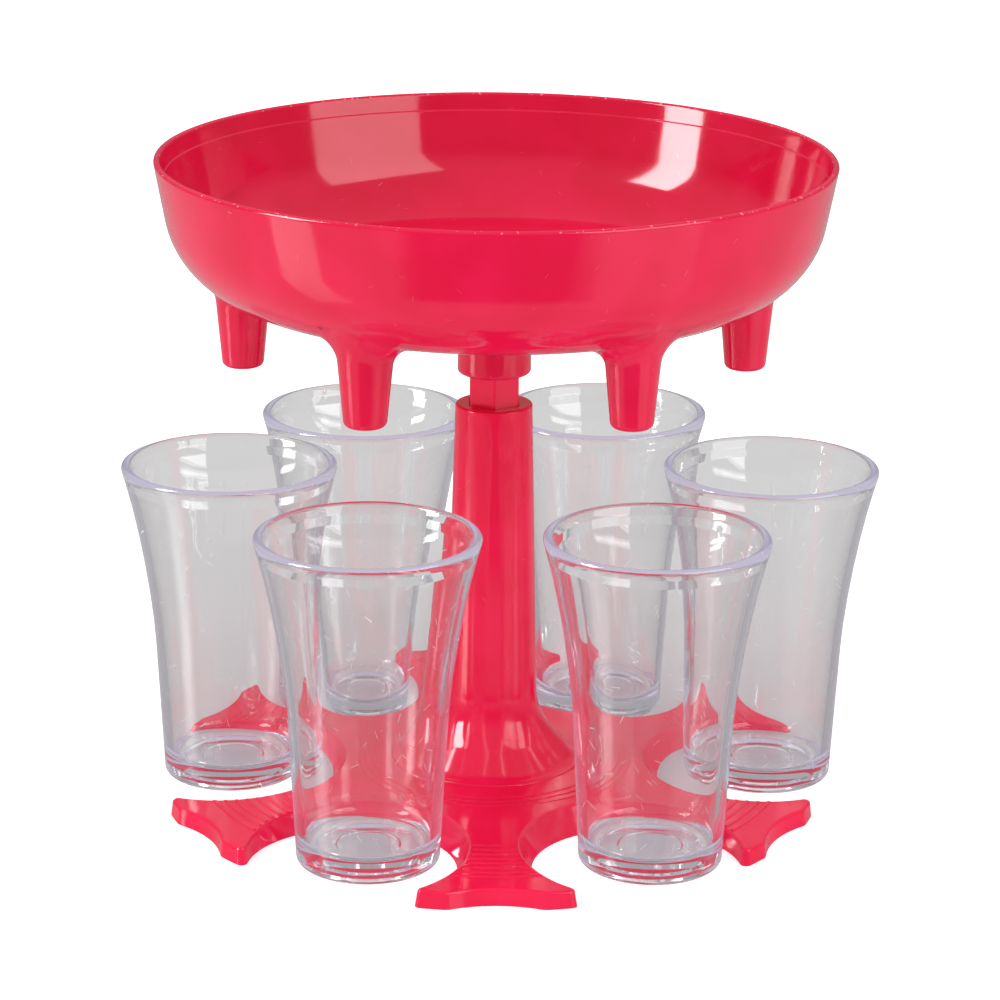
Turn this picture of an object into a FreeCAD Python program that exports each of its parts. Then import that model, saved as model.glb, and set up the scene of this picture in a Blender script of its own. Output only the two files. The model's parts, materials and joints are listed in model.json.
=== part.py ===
"""Party shot dispenser: a bowl with six nozzles, carried on a column over a
six-armed base plate, with a shot glass standing in each notch of the plate.

Millimetres, +Z up.  The origin is on the column's axis at table level, and
one arm of the plate points along -Y, the front.  Each piece is written to
parts/NAME.step.
"""
import FreeCAD, Part
import math
import os

Vec = FreeCAD.Vector
UP = Vec(0, 0, 1)
STATIONS = 6                    # glasses, nozzles, notches and arms

# Shot glasses
GLASS_RIM_R = 27.2              # outside of the lip
GLASS_BASE_R = 17.2             # foot, where the wall leaves the rounded edge
GLASS_HEIGHT = 81.6
GLASS_WALL = 1.9
GLASS_LIP = 2.4                 # thickness of the rounded lip
GLASS_FLOOR = 5.2               # thick base, measured from the table
GLASS_KNEE_Z = 56.0             # where the straight wall and the flare would meet
GLASS_KNEE_R = 20.1
GLASS_KNEE_ROUND = 230.0
GLASS_FOOT_ROUND = 1.5
GLASS_WELL_ROUND = 3.0          # corner of the floor inside
GLASS_PUNT_R = 12.4             # shallow recess under the base
GLASS_PUNT_DEPTH = 0.9
GLASS_PUNT_ROUND = 0.4          # its two corners
GLASS_RIM_GAP = 7.1             # between neighbouring lips on the nozzle circle

# Where each glass stands: notch angle from the front, then how far round and
# how far out it stands from the point under its nozzle.
GLASS_PLACES = {
    "front_left": (-30.0, -0.4, -1.8),
    "front_right": (30.0, 6.0, 2.3),
    "left": (-90.0, -6.0, 4.5),
    "right": (90.0, 4.9, 8.3),
    "rear_left": (-150.0, 0.5, 2.8),
    "rear_right": (150.0, 2.0, 2.5),
}

# Base plate
NOTCH_SLACK = 8.0               # notch radius less the glass's foot radius
NOTCH_OUTSET = 6.6              # notch centre beyond the nozzle circle, at the table
NOTCH_LEAN = 0.53               # inward shift of the notch per mm of height
NOTCH_DRAFT = 0.27              # growth of its radius per mm of height
PLATE_WALL = 2.2
PLATE_SEAT_Z = 6.3              # face that the column's flange stands on
HUB_TOP_Z = 6.95
HUB_STEP = 0.25                 # drop at each of the hub's rings
HUB_RING_R = 30.1               # first ring
HUB_RING_PITCH = 2.05
HUB_RINGS = 3
ARM_END_Z = 4.2                 # top of the arms at their ends
ARM_REACH = 15.0                # arm ends beyond the notch centres
ARM_SCOOP_R = 28.0              # hollow of the arm's end, in plan
ARM_SCOOP_DEPTH = 3.2           # its depth at the middle of the end
ARM_END_LEAN = 0.08             # inward shift of the end per mm of height
ARM_CREST_ROUND = 3.0           # where the hollow meets the round of the end
ARM_CORNER_ROUND = 1.4
ARM_EDGE_ROUND = 0.8
RIDGES = 8                      # anti-slip ridges across each arm
RIDGE_START = 11.8              # first ridge inside the notch centre circle
RIDGE_PITCH = 2.45
RIDGE_R = 0.65
RIDGE_HEIGHT = 0.35
RIB_T = 1.6                     # stiffening ribs under the plate
RIB_CLEAR = 1.2                 # their lower edge above the table
RIB_RING_R = 21.0
HUB_PAD_R = 5.0                 # pad under the middle, level with the plate's rim

# Column
COLUMN_HEIGHT = 92.9            # above the plate's seat
COLUMN_TOP_R = 9.5
COLUMN_FOOT_R = 11.6            # where the side would meet the flare
COLUMN_WALL = 2.2
COLUMN_EDGE_ROUND = 0.6
FLARE_HEIGHT = 12.0             # of that meeting point, above the seat
FLARE_OUT = 9.5                 # how far the flare spreads from there
FLARE_ROUND = 18.0              # outside; it sweeps the side into the flare
FLANGE_OUT = 2.2                # flange beyond the flare
FLANGE_T = 1.0
FLANGE_FILLET = 3.0
FLANGE_EDGE_ROUND = 0.4
SEAT_CLEAR = 0.1                # flange in its recess
ROD_ENGAGEMENT = 59.0           # rod inside the column
SHELF_T = 2.5                   # web that the rod stands on

# Hexagonal rod
ROD_AF = 12.0                   # across flats
ROD_EDGE_ROUND = 0.7
ROD_CLEAR = 0.15                # each side, in the column
ROD_GAP = 7.8                   # rod in the open between column and boss
ROD_SOCKET = 14.0               # rod inside the boss
ROD_CHAMFER = 0.6

# Bowl
BOWL_OVERHANG = 21.0            # rim beyond the nozzle circle
BOWL_DEPTH = 34.6               # outside, from the wall's foot to the rim
BOWL_WALL = 2.0
BOWL_LIP_T = 1.7                # thinner wall above the ledge inside the rim
BOWL_LIP_DEPTH = 4.3            # of that ledge, below the rim
BOWL_LIP_ROUND = 0.82
BOWL_LEAN = 6.4                 # rim radius less the radius at the wall's foot
BOWL_CORNER_ROUND = 24.0        # outside
BOWL_FALL = 2.65                # floor falls this far from the middle to the wall
BOSS_R = 9.05
BOSS_LENGTH = 22.0
BOSS_EDGE_ROUND = 1.0
BOSS_FILLET = 3.0
NOZZLE_LENGTH = 19.3
NOZZLE_TIP_R = 5.0
NOZZLE_ROOT_R = 6.9
NOZZLE_FILLET = 5.0
NOZZLE_EDGE_ROUND = 1.5
NOZZLE_INLET_R = 2.5            # bore at the bowl's floor
NOZZLE_OUTLET_R = 1.6           # and at the tip

# Screws from below, through the plate into the column's foot
SCREWS = 3
SCREW_CIRCLE_R = 13.0
SCREW_R = 1.5
SCREW_HEAD_R = 2.8
SCREW_HEAD_H = 2.0
SCREW_BITE = 7.5                # length in the column
SCREW_CLEAR = 0.2               # shank in the plate's hole
SCREW_SLOT_W = 0.9
SCREW_SLOT_L = 3.2
SCREW_SLOT_D = 1.1
PILOT_EXTRA = 0.8               # pilot hole beyond the screw's point
PILOT_CAP = 3.0                 # over the pilot hole
PILOT_BOSS_R = 3.2

# Worked out from the sizes above
NOZZLE_CIRCLE_R = 2 * GLASS_RIM_R + GLASS_RIM_GAP
NOTCH_CENTRE_R = NOZZLE_CIRCLE_R + NOTCH_OUTSET
NOTCH_R = GLASS_BASE_R + NOTCH_SLACK
ARM_TIP_R = NOTCH_CENTRE_R + ARM_REACH
FLANGE_R = COLUMN_FOOT_R + FLARE_OUT + FLANGE_OUT
HUB_OUTER_R = HUB_RING_R + (HUB_RINGS - 1) * HUB_RING_PITCH
HUB_FOOT_Z = HUB_TOP_Z - HUB_RINGS * HUB_STEP
PLATE_CEILING_Z = PLATE_SEAT_Z - PLATE_WALL
COLUMN_TOP_Z = PLATE_SEAT_Z + COLUMN_HEIGHT
SHELF_Z = COLUMN_TOP_Z - ROD_ENGAGEMENT
BOSS_Z = COLUMN_TOP_Z + ROD_GAP
BOWL_MIDDLE_Z = BOSS_Z + BOSS_LENGTH
BOWL_FOOT_Z = BOWL_MIDDLE_Z - BOWL_FALL
RIM_R = NOZZLE_CIRCLE_R + BOWL_OVERHANG
RIM_Z = BOWL_FOOT_Z + BOWL_DEPTH
WALL_FOOT_R = RIM_R - BOWL_LEAN
NOZZLE_ROOT_Z = BOWL_MIDDLE_Z - BOWL_FALL * NOZZLE_CIRCLE_R / WALL_FOOT_R
NOZZLE_TIP_Z = NOZZLE_ROOT_Z - NOZZLE_LENGTH
OVERCUT = 1.0                   # how far a cutting tool passes a face
ON_FACE = 0.2                   # an edge this near to a face lies on it
ON_ROOT = 0.5                   # and this near to a spout's radius, at its root


def rounded_edges(corners):
    """Edges of a closed profile.  Each corner is (radius, height, rounding)."""
    points = [Vec(r, 0, z) for r, z, _ in corners]
    count = len(points)
    halves = []
    reaches = []
    for i, (_, _, rounding) in enumerate(corners):
        half = (points[i - 1] - points[i]).getAngle(points[(i + 1) % count] - points[i]) / 2
        straight = half > math.radians(89.9)
        halves.append(half)
        reaches.append(0.0 if straight else rounding / math.tan(half))
    room = [0.98 * points[i].distanceToPoint(points[(i + 1) % count]) for i in range(count)]
    share = [min(1.0, room[i] / max(reaches[i] + reaches[(i + 1) % count], 1e-9)) for i in range(count)]
    edges = []
    joins = []
    for i in range(count):
        reach = reaches[i] * min(share[i - 1], share[i])
        before = (points[i - 1] - points[i]).normalize()
        after = (points[(i + 1) % count] - points[i]).normalize()
        start = points[i] + before * reach
        end = points[i] + after * reach
        joins.append((start, end))
        if reach > 0:
            inward = (before + after).normalize()
            depth = reach / math.cos(halves[i]) - reach * math.tan(halves[i])
            edges.append(Part.Arc(start, points[i] + inward * depth, end).toShape())
    for i in range(count):
        leave = joins[i][1]
        arrive = joins[(i + 1) % count][0]
        if leave.distanceToPoint(arrive) > 1e-6:
            edges.append(Part.LineSegment(leave, arrive).toShape())
    return Part.__sortEdges__(edges)


def turned(corners):
    """Solid of revolution about Z with the given profile."""
    face = Part.Face(Part.Wire(rounded_edges(corners)))
    return face.revolve(Vec(0, 0, 0), UP, 360)


def hexagon(across_flats, bottom, top, rounding=0.0):
    """Upright hexagonal bar with one corner towards the front."""
    reach = across_flats / math.sqrt(3)
    ring = [polar(reach, 60 * i, bottom) for i in range(7)]
    bar = Part.Face(Part.makePolygon(ring)).extrude(Vec(0, 0, top - bottom))
    if rounding > 0:
        bar = bar.makeFillet(rounding, [e for e in bar.Edges if is_upright(e)])
    return bar


def is_upright(edge):
    """True for an edge that runs mostly along Z."""
    box = edge.BoundBox
    return box.ZLength > max(box.XLength, box.YLength)


def polar(radius, angle, z=0.0):
    """Point at an angle in degrees from the front, seen from above; + is to the right."""
    turn = math.radians(angle)
    return Vec(radius * math.sin(turn), -radius * math.cos(turn), z)


def around(shape, start, count=STATIONS):
    """Copies of a shape built on the front axis, evenly spaced round Z."""
    copies = []
    for i in range(count):
        copy = shape.copy()
        copy.rotate(Vec(0, 0, 0), UP, start + i * 360.0 / count)
        copies.append(copy)
    return copies


def one_solid(shape):
    """The single solid of a boolean result, with its seams tidied."""
    tidy = shape.removeSplitter()
    return tidy.Solids[0] if len(tidy.Solids) == 1 else tidy


# ---------------------------------------------------------------- shot glasses

def shot_glass():
    """Flared glass with a rounded lip and a thick base, standing on the origin."""
    lip = GLASS_LIP / 2
    inner_rim = GLASS_RIM_R - GLASS_LIP
    inner_knee = GLASS_KNEE_R - GLASS_WALL
    inner_foot = GLASS_BASE_R - GLASS_WALL
    return turned([
        (0, GLASS_PUNT_DEPTH, 0),
        (GLASS_PUNT_R, GLASS_PUNT_DEPTH, GLASS_PUNT_ROUND),
        (GLASS_PUNT_R + GLASS_PUNT_DEPTH, 0, GLASS_PUNT_ROUND),
        (GLASS_BASE_R, 0, GLASS_FOOT_ROUND),
        (GLASS_KNEE_R, GLASS_KNEE_Z, GLASS_KNEE_ROUND),
        (GLASS_RIM_R, GLASS_HEIGHT, lip),
        (inner_rim, GLASS_HEIGHT, lip),
        (inner_knee, GLASS_KNEE_Z, GLASS_KNEE_ROUND),
        (inner_foot, GLASS_FLOOR, GLASS_WELL_ROUND),
        (0, GLASS_FLOOR, 0),
    ])


def placed_glasses():
    """Node name to glass, each where it stands in its notch."""
    glasses = {}
    for place, (notch, turn, out) in GLASS_PLACES.items():
        glass = shot_glass()
        glass.translate(polar(NOZZLE_CIRCLE_R + out, notch + turn))
        glasses["shot_glass_" + place] = glass
    return glasses


# ------------------------------------------------------------------ base plate

def tangent_circle(centre_a, reach_a, centre_b, reach_b):
    """Centre at the given distances from two centres, to the left of the line between them."""
    link = centre_b - centre_a
    along = (reach_a ** 2 - reach_b ** 2 + link.Length ** 2) / (2 * link.Length)
    across = math.sqrt(reach_a ** 2 - along ** 2)
    link.normalize()
    return centre_a + link * along + Vec(-link.y, link.x, 0) * across


def towards(start, aim, distance):
    """Point at a distance from the start, in the direction of the aim."""
    return start + (aim - start).normalize() * distance


def arc_points(centre, start, end):
    """Three points of the short arc about a centre."""
    halfway = (start - centre).normalize() + (end - centre).normalize()
    return (start, towards(centre, centre + halfway, (start - centre).Length), end)


def star_outline(inset, z):
    """Outline of the plate at a height, moved inward by an inset."""
    half = 180.0 / STATIONS
    lean = ARM_END_LEAN * z
    notch_r = NOTCH_R + inset + NOTCH_DRAFT * z
    scoop_r = ARM_SCOOP_R + inset + lean
    tip_r = ARM_TIP_R - inset - lean
    corner_r = max(ARM_CORNER_ROUND - inset, ARM_CORNER_ROUND / 4)
    crest_r = max(ARM_CREST_ROUND - inset, ARM_CREST_ROUND / 4)
    axis = Vec(0, 0, z)
    scoop = polar(ARM_TIP_R - ARM_SCOOP_DEPTH + ARM_SCOOP_R, 0, z)
    notch = polar(NOTCH_CENTRE_R - NOTCH_LEAN * z, half, z)
    crest = tangent_circle(axis, tip_r - crest_r, scoop, scoop_r + crest_r)
    corner = tangent_circle(notch, notch_r + corner_r, axis, tip_r - corner_r)
    crest_ends = (towards(crest, scoop, crest_r), towards(axis, crest, tip_r))
    corner_ends = (towards(axis, corner, tip_r), towards(corner, notch, corner_r))
    right = [
        arc_points(crest, *crest_ends),
        arc_points(axis, crest_ends[1], corner_ends[0]),
        arc_points(corner, *corner_ends),
    ]
    left = [tuple(Vec(-p.x, p.y, p.z) for p in reversed(arc)) for arc in reversed(right)]
    next_arm = FreeCAD.Rotation(UP, 2 * half)
    end = arc_points(scoop, left[-1][2], right[0][0])
    side = (right[-1][2], towards(notch, axis, notch_r), next_arm.multVec(left[0][0]))
    edges = []
    for i in range(STATIONS):
        turn = FreeCAD.Rotation(UP, i * 2 * half)
        for arc in left + [end] + right + [side]:
            edges.append(Part.Arc(*[turn.multVec(p) for p in arc]).toShape())
    return Part.Wire(edges)


def star_prism(inset, bottom, top):
    """Solid between the plate's outlines at two heights."""
    return Part.makeLoft([star_outline(inset, bottom), star_outline(inset, top)], True, True)


def arm_top_z(radius):
    """Height of the arms' top face at a radius."""
    share = (radius - HUB_OUTER_R) / (ARM_TIP_R - HUB_OUTER_R)
    return HUB_FOOT_Z + (ARM_END_Z - HUB_FOOT_Z) * share


def plate_blank():
    """Round blank with the plate's top face: seat, hub rings and sloping arms."""
    seat_r = FLANGE_R + SEAT_CLEAR
    rim_r = ARM_TIP_R + OVERCUT
    corners = [
        (0, -OVERCUT, 0),
        (0, PLATE_SEAT_Z, 0),
        (seat_r, PLATE_SEAT_Z, 0),
        (seat_r, HUB_TOP_Z, 0),
    ]
    for i in range(HUB_RINGS):
        edge = HUB_RING_R + i * HUB_RING_PITCH
        z = HUB_TOP_Z - i * HUB_STEP
        corners += [(edge, z, HUB_STEP / 3), (edge + HUB_STEP / 3, z - HUB_STEP, 0)]
    corners += [(rim_r, arm_top_z(rim_r), 0), (rim_r, -OVERCUT, 0)]
    return turned(corners)


def plate_hollow():
    """Space under the plate, without the ribs that cross it."""
    rim_r = ARM_TIP_R + OVERCUT
    blank = turned([
        (0, -2 * OVERCUT, 0),
        (0, PLATE_CEILING_Z, 0),
        (HUB_OUTER_R, PLATE_CEILING_Z, 0),
        (rim_r, arm_top_z(rim_r) - PLATE_WALL, 0),
        (rim_r, -2 * OVERCUT, 0),
    ])
    hollow = star_prism(PLATE_WALL, -OVERCUT, HUB_TOP_Z).common(blank)
    height = HUB_TOP_Z - RIB_CLEAR
    bar = Part.makeBox(RIB_T, rim_r - RIB_RING_R, height, Vec(-RIB_T / 2, -rim_r, RIB_CLEAR))
    outer = Part.makeCylinder(RIB_RING_R + RIB_T / 2, height, Vec(0, 0, RIB_CLEAR))
    inner = Part.makeCylinder(RIB_RING_R - RIB_T / 2, height, Vec(0, 0, RIB_CLEAR))
    pad = Part.makeCylinder(HUB_PAD_R, HUB_TOP_Z)
    return hollow.cut(around(bar, 0) + [outer.cut(inner), pad])


def top_rim_edges(star):
    """Edges round the arms and notches, where the top face meets the sides."""
    found = []
    for edge in star.Edges:
        middle = edge.valueAt((edge.FirstParameter + edge.LastParameter) / 2)
        radius = math.hypot(middle.x, middle.y)
        if radius > HUB_OUTER_R + OVERCUT and abs(middle.z - arm_top_z(radius)) < ON_FACE:
            found.append(edge)
    return found


def ridge_segments():
    """Half-round ridges across the arms, ending short of the rounded edges."""
    inside = star_prism(ARM_EDGE_ROUND, 0, HUB_TOP_Z)
    segments = []
    for i in range(RIDGES):
        radius = NOTCH_CENTRE_R - RIDGE_START + i * RIDGE_PITCH
        z = arm_top_z(radius) + RIDGE_HEIGHT - RIDGE_R
        ring = Part.makeTorus(radius, RIDGE_R, Vec(0, 0, z))
        segments += ring.common(inside).Solids
    return segments


def screw_spots():
    """Points of the screw circle at table level."""
    return [polar(SCREW_CIRCLE_R, 180.0 / SCREWS + i * 360.0 / SCREWS) for i in range(SCREWS)]


def base_plate():
    """Moulded plate, open underneath, with a seat for the column."""
    star = star_prism(0, 0, HUB_TOP_Z + OVERCUT).common(plate_blank())
    star = star.makeFillet(ARM_EDGE_ROUND, top_rim_edges(star))
    plate = star.cut(plate_hollow()).fuse(ridge_segments())
    holes = [Part.makeCylinder(SCREW_R + SCREW_CLEAR, HUB_TOP_Z, spot) for spot in screw_spots()]
    return one_solid(plate.cut(holes))


# ---------------------------------------------------------------------- column

def flare_profile():
    """Height of the flange's top, and the radius where the flare meets it."""
    return PLATE_SEAT_Z + FLANGE_T, COLUMN_FOOT_R + FLARE_OUT


def column_outside():
    """Tapered column with its flared foot."""
    flange_z, flare_r = flare_profile()
    return turned([
        (0, PLATE_SEAT_Z, 0),
        (FLANGE_R, PLATE_SEAT_Z, 0),
        (FLANGE_R, flange_z, FLANGE_EDGE_ROUND),
        (flare_r, flange_z, FLANGE_FILLET),
        (COLUMN_FOOT_R, PLATE_SEAT_Z + FLARE_HEIGHT, FLARE_ROUND),
        (COLUMN_TOP_R, COLUMN_TOP_Z, COLUMN_EDGE_ROUND),
        (0, COLUMN_TOP_Z, 0),
    ])


def column_hollow():
    """Space inside the foot, up to the shelf that the rod stands on."""
    flange_z, flare_r = flare_profile()
    run = flare_r - COLUMN_FOOT_R
    rise = PLATE_SEAT_Z + FLARE_HEIGHT - flange_z
    inset = COLUMN_WALL * math.hypot(run, rise) / rise
    slope = run / rise
    inner_top_r = COLUMN_TOP_R - COLUMN_WALL
    inner_foot_r = COLUMN_FOOT_R - COLUMN_WALL
    foot_z = PLATE_SEAT_Z + FLARE_HEIGHT - (inset - COLUMN_WALL) / slope
    mouth_z = PLATE_SEAT_Z - OVERCUT
    mouth_r = inner_foot_r + slope * (foot_z - mouth_z)
    ceiling_z = SHELF_Z - SHELF_T
    share = (ceiling_z - foot_z) / (COLUMN_TOP_Z - foot_z)
    ceiling_r = inner_foot_r + (inner_top_r - inner_foot_r) * share
    return turned([
        (0, mouth_z, 0),
        (mouth_r, mouth_z, 0),
        (inner_foot_r, foot_z, FLARE_ROUND + COLUMN_WALL),
        (ceiling_r, ceiling_z, COLUMN_WALL),
        (0, ceiling_z, 0),
    ])


def column():
    """Hollow column with a hexagonal guide from its top down to the shelf."""
    outside = column_outside()
    height = SCREW_BITE + PILOT_EXTRA + PILOT_CAP
    pillars = []
    pilots = []
    for spot in screw_spots():
        at_seat = spot + Vec(0, 0, PLATE_SEAT_Z)
        pillars.append(Part.makeCylinder(PILOT_BOSS_R, height, at_seat))
        pilots.append(Part.makeCylinder(SCREW_R, SCREW_BITE + PILOT_EXTRA, at_seat))
    hollow = column_hollow().cut(pillars)
    guide = hexagon(ROD_AF + 2 * ROD_CLEAR, SHELF_Z, COLUMN_TOP_Z + OVERCUT)
    return one_solid(outside.cut([hollow, guide] + pilots))


def hex_rod():
    """Bar pressed into the bowl's boss; its lower end stands on the shelf."""
    bottom = SHELF_Z
    top = BOSS_Z + ROD_SOCKET
    bar = hexagon(ROD_AF, bottom, top, ROD_EDGE_ROUND)
    corner_r = ROD_AF / math.sqrt(3)
    taper = turned([
        (0, bottom, 0),
        (corner_r - ROD_CHAMFER, bottom, 0),
        (corner_r, bottom + ROD_CHAMFER, 0),
        (corner_r, top - ROD_CHAMFER, 0),
        (corner_r - ROD_CHAMFER, top, 0),
        (0, top, 0),
    ])
    return one_solid(bar.common(taper))


def base_screws():
    """Pan-head screws that draw the column down on the plate."""
    seat = PLATE_CEILING_Z
    under = seat - SCREW_HEAD_H
    point = PLATE_SEAT_Z + SCREW_BITE
    blank = turned([
        (0, under, 0),
        (SCREW_HEAD_R, under, SCREW_HEAD_H / 2),
        (SCREW_HEAD_R, seat, 0),
        (SCREW_R, seat, 0),
        (SCREW_R, point - SCREW_R, 0),
        (0, point, 0),
    ])
    long_way = Part.makeBox(SCREW_SLOT_L, SCREW_SLOT_W, SCREW_SLOT_D,
                            Vec(-SCREW_SLOT_L / 2, -SCREW_SLOT_W / 2, under))
    cross_way = long_way.copy()
    cross_way.rotate(Vec(0, 0, 0), UP, 90)
    screw = blank.cut([long_way, cross_way])
    screws = []
    for spot in screw_spots():
        copy = screw.copy()
        copy.translate(spot)
        screws.append(copy)
    return Part.makeCompound(screws)


# ------------------------------------------------------------------------ bowl

def bowl_shell():
    """Round bowl whose floor falls slightly from the middle to the nozzles."""
    inner_foot_r = WALL_FOOT_R - BOWL_WALL
    step = BOWL_WALL - BOWL_LIP_T
    ledge_z = RIM_Z - BOWL_LIP_DEPTH
    ledge_r = RIM_R - BOWL_LIP_T - BOWL_LEAN * BOWL_LIP_DEPTH / BOWL_DEPTH
    return turned([
        (0, BOWL_MIDDLE_Z, 0),
        (WALL_FOOT_R, BOWL_FOOT_Z, BOWL_CORNER_ROUND),
        (RIM_R, RIM_Z, BOWL_LIP_ROUND),
        (RIM_R - BOWL_LIP_T, RIM_Z, BOWL_LIP_ROUND),
        (ledge_r, ledge_z, 0),
        (ledge_r - step, ledge_z - step, 0),
        (inner_foot_r, BOWL_FOOT_Z + BOWL_WALL, BOWL_CORNER_ROUND - BOWL_WALL),
        (0, BOWL_MIDDLE_Z + BOWL_WALL, 0),
    ])


def nozzle_outside():
    """Tapered spout on the front axis, ending inside the bowl's wall."""
    half_wall = BOWL_WALL / 2
    above = BOWL_FOOT_Z + BOWL_CORNER_ROUND
    flare = (NOZZLE_ROOT_R - NOZZLE_TIP_R) * (above - NOZZLE_TIP_Z) / NOZZLE_LENGTH
    spout = turned([
        (0, NOZZLE_TIP_Z, 0),
        (NOZZLE_TIP_R, NOZZLE_TIP_Z, NOZZLE_EDGE_ROUND),
        (NOZZLE_TIP_R + flare, above, 0),
        (0, above, 0),
    ])
    spout.translate(polar(NOZZLE_CIRCLE_R, 0))
    inside = turned([
        (0, BOWL_MIDDLE_Z + half_wall, 0),
        (WALL_FOOT_R - half_wall, BOWL_FOOT_Z + half_wall, BOWL_CORNER_ROUND - half_wall),
        (RIM_R - half_wall, RIM_Z, 0),
        (0, RIM_Z, 0),
    ])
    return spout.cut(inside)


def nozzle_bore():
    """Tapered bore through a spout, from the bowl's floor to the tip."""
    ceiling = BOWL_FOOT_Z + BOWL_CORNER_ROUND
    bore = turned([
        (0, NOZZLE_TIP_Z - OVERCUT, 0),
        (NOZZLE_OUTLET_R, NOZZLE_TIP_Z - OVERCUT, 0),
        (NOZZLE_OUTLET_R, NOZZLE_TIP_Z, 0),
        (NOZZLE_INLET_R, NOZZLE_ROOT_Z, 0),
        (NOZZLE_INLET_R, ceiling, 0),
        (0, ceiling, 0),
    ])
    bore.translate(polar(NOZZLE_CIRCLE_R, 0))
    return bore


def root_edges(shape, centre, radius):
    """Edges where a spout or the boss of a given root radius meets the floor."""
    found = []
    for edge in shape.Edges:
        start, end = edge.FirstParameter, edge.LastParameter
        points = [edge.valueAt(start + (end - start) * k / 4) for k in range(5)]
        spread = [math.hypot(p.x - centre.x, p.y - centre.y) - radius for p in points]
        above = min(p.z for p in points) > BOWL_FOOT_Z - BOWL_WALL
        if above and max(abs(s) for s in spread) < ON_ROOT:
            found.append(edge)
    return found


def dispenser_bowl():
    """Bowl, six spouts and the central boss, moulded in one."""
    boss = turned([
        (0, BOSS_Z, 0),
        (BOSS_R, BOSS_Z, BOSS_EDGE_ROUND),
        (BOSS_R, BOWL_MIDDLE_Z + BOWL_WALL / 2, 0),
        (0, BOWL_MIDDLE_Z + BOWL_WALL / 2, 0),
    ])
    bowl = bowl_shell().fuse([boss] + around(nozzle_outside(), 180.0 / STATIONS)).removeSplitter()
    roots = []
    for i in range(STATIONS):
        spot = polar(NOZZLE_CIRCLE_R, (i + 0.5) * 360.0 / STATIONS)
        roots += root_edges(bowl, spot, NOZZLE_ROOT_R)
    bowl = bowl.makeFillet(NOZZLE_FILLET, roots)
    bowl = bowl.makeFillet(BOSS_FILLET, root_edges(bowl, Vec(0, 0, 0), BOSS_R))
    socket = hexagon(ROD_AF, BOSS_Z - OVERCUT, BOSS_Z + ROD_SOCKET, ROD_EDGE_ROUND)
    return one_solid(bowl.cut(around(nozzle_bore(), 180.0 / STATIONS) + [socket]))


def main():
    """Build every piece and write its STEP file."""
    pieces = {
        "base_plate": base_plate(),
        "column": column(),
        "base_screws": base_screws(),
        "hex_rod": hex_rod(),
        "dispenser_bowl": dispenser_bowl(),
    }
    pieces.update(placed_glasses())
    os.makedirs("parts", exist_ok=True)
    for name, shape in pieces.items():
        shape.exportStep(os.path.join("parts", name + ".step"))
        print(name, len(shape.Solids), "solid(s)", round(shape.Volume), "mm3", "valid", shape.isValid())


main()
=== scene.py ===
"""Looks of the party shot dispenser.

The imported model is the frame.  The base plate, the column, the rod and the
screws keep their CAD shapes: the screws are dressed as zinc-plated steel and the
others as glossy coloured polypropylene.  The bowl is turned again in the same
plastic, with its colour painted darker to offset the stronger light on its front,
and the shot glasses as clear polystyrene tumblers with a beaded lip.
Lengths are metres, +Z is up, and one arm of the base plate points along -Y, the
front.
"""
import json
import logging
import math
from dataclasses import dataclass, field
from enum import Enum

import bmesh
import bpy
from mathutils import Matrix, Vector
from mathutils.bvhtree import BVHTree

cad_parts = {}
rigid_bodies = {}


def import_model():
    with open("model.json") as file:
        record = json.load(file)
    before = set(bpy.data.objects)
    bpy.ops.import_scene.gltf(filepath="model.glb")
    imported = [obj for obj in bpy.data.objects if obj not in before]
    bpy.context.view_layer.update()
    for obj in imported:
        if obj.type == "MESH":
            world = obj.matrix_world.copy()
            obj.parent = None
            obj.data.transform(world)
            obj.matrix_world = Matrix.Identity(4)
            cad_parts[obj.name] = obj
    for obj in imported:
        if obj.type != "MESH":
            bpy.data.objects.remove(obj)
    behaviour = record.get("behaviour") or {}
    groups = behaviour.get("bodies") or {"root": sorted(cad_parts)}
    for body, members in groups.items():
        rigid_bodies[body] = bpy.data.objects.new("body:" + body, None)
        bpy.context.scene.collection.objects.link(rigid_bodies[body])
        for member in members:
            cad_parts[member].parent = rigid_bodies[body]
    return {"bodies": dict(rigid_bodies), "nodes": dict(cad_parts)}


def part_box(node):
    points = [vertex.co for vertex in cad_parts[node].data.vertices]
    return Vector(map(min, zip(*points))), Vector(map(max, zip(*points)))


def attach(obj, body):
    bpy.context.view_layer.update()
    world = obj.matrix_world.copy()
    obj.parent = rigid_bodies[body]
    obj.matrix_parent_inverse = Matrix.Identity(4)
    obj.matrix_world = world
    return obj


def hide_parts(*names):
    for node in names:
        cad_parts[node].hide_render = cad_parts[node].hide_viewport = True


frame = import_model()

LOG = logging.getLogger("shot_dispenser")
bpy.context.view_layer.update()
MM = 0.001
UP = Vector((0, 0, 1))
SOFTLY = 0.5                        # profile of a round bevel
CREASE = math.radians(38)           # faces that meet at more than this keep a sharp edge
WELD = 1e-6                         # points nearer than this become one
WORN_RIM = 0.6 * MM                 # height of the nicked edge of the bowl
NOISE_LOW, NOISE_HIGH = 0.35, 0.65  # most of a noise's values lie between these
MIRRORED = 0.5                      # glossy depth above which a ray was mirrored on its way
WHITE = "#FFFFFF"
SMOOTH = {"interpolation_type": "SMOOTHSTEP"}


# ------------------------------------------------------------------ node tools

def srgb(code: str) -> tuple[float, float, float, float]:
    """Turns an sRGB hex colour to linear.

    Args:
        code: The colour as "#RRGGBB".

    Returns:
        Linear red, green and blue, and an alpha of 1.
    """
    channels = [int(code[i:i + 2], 16) / 255 for i in (1, 3, 5)]
    linear = [c / 12.92 if c <= 0.04045 else ((c + 0.055) / 1.055) ** 2.4 for c in channels]
    return (*linear, 1.0)


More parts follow.
